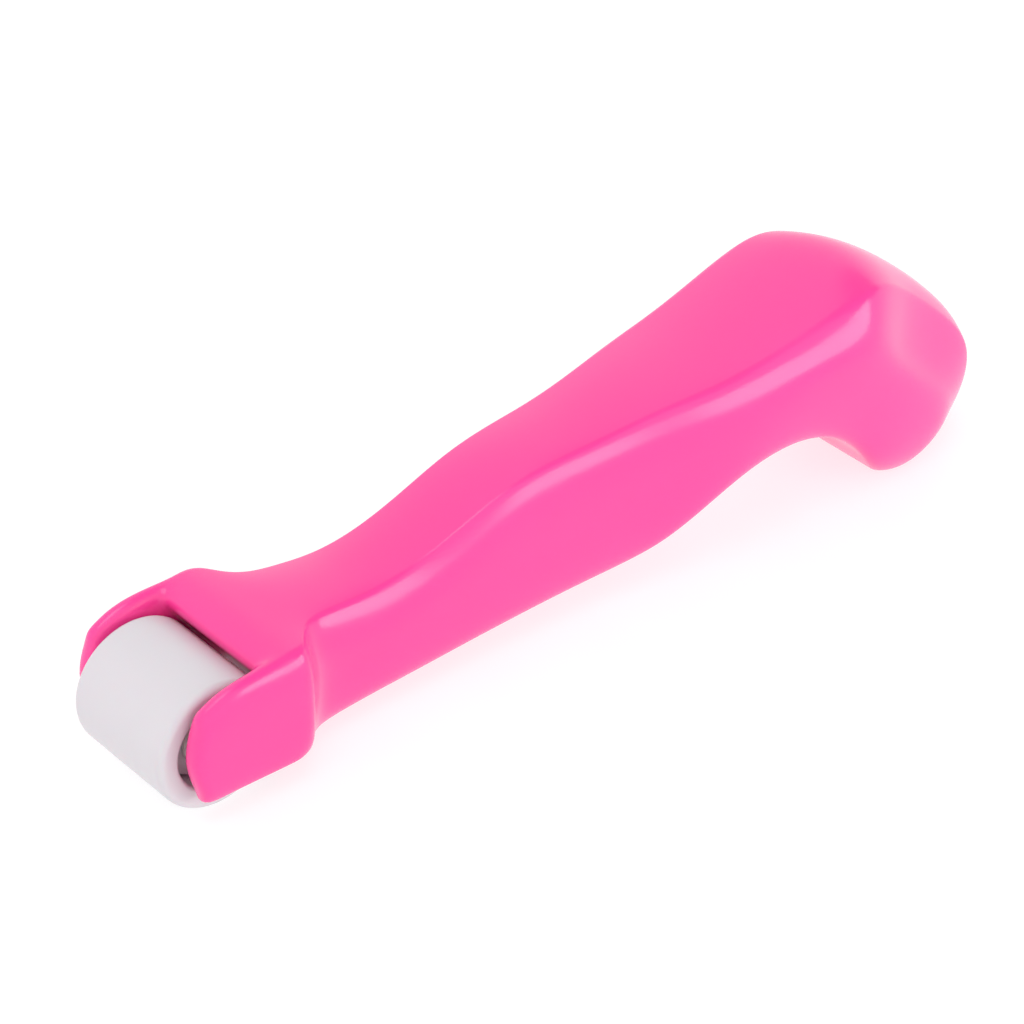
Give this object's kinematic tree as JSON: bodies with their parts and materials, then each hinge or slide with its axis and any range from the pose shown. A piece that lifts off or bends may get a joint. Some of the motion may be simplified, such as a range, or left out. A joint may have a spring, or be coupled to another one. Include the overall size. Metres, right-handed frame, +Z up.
{
  "type": "derma roller",
  "caption": "Hand roller: a hollow pink handle with a hooked tail ends in a fork, in which a smooth pale drum turns on a steel pin.",
  "frame": {"origin": "bottom centre of the tool's box as it rests on a table, on the drum and the tip of the hook", "axes": "+X from the drum towards the hooked tail, +Y across the tool along the drum's axis, +Z up"},
  "size_m": [0.1649, 0.031, 0.0406],
  "materials": {
    "pink_plastic": "satin-gloss moulded plastic",
    "drum_plastic": "smooth satin moulded plastic",
    "bush_plastic": "natural nylon",
    "pin_steel": "ground steel",
    "screw_steel": "plated steel"
  },
  "bodies": {
    "handle": {"handle_shell": "pink_plastic", "underside_cover": "pink_plastic", "cover_screw_front": "screw_steel", "cover_screw_middle": "screw_steel", "cover_screw_rear": "screw_steel", "axle_pin": "pin_steel", "thrust_washer_left": "bush_plastic", "thrust_washer_right": "bush_plastic"},
    "roller": {"drum_sleeve": "drum_plastic", "drum_end_cap_left": "drum_plastic", "drum_end_cap_right": "drum_plastic", "drum_bush_left": "bush_plastic", "drum_bush_right": "bush_plastic"}
  },
  "joints": [
    {"name": "roller_spin", "type": "hinge", "parent": "handle", "child": "roller", "pos_m": [-0.0722, 0, 0.0102], "axis": [0, 1, 0], "continuous": true}
  ]
}
